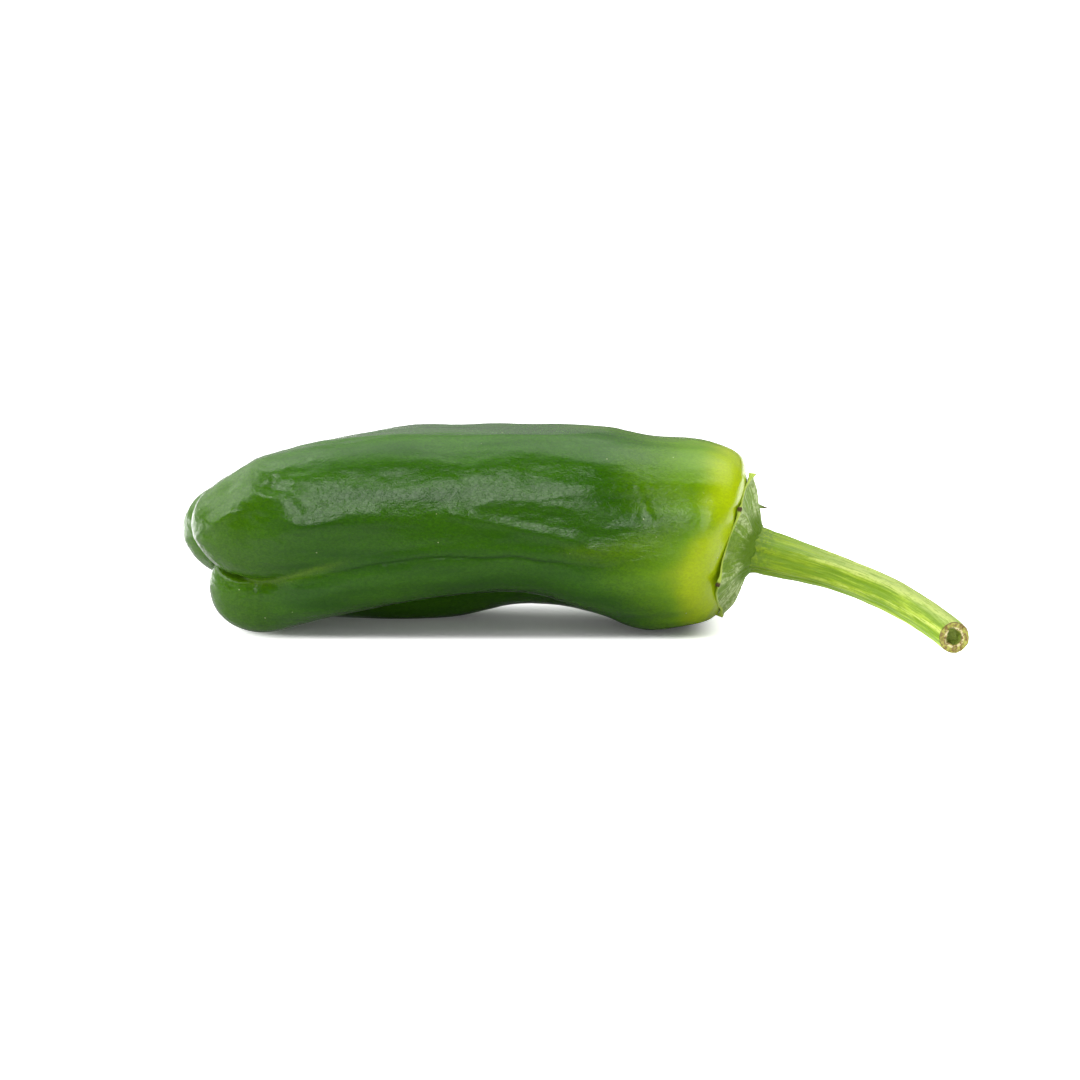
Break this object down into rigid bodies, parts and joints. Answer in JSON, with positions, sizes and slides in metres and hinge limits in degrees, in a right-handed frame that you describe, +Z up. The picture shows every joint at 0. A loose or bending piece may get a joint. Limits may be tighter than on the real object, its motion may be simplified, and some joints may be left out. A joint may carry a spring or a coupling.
{
  "type": "padron pepper",
  "caption": "Fresh green padron pepper lying on its side: a lobed, creased fruit with a toothed calyx and a curved, cut stem.",
  "frame": {"origin": "on the surface that the pepper lies on, under the middle of its box", "axes": "+X along the pepper from its blossom tip to its stem, +Z up, and -Y the side that the stem bends to"},
  "size_m": [0.0888, 0.029, 0.0232],
  "materials": {
    "fruit_skin": "smooth waxy green skin, yellower at the stem end",
    "calyx_skin": "soft matt grey-green",
    "stem_skin": "satin yellow-green, ribbed"
  },
  "bodies": {
    "root": {"fruit": "fruit_skin", "calyx": "calyx_skin", "stem": "stem_skin"}
  },
  "joints": []
}
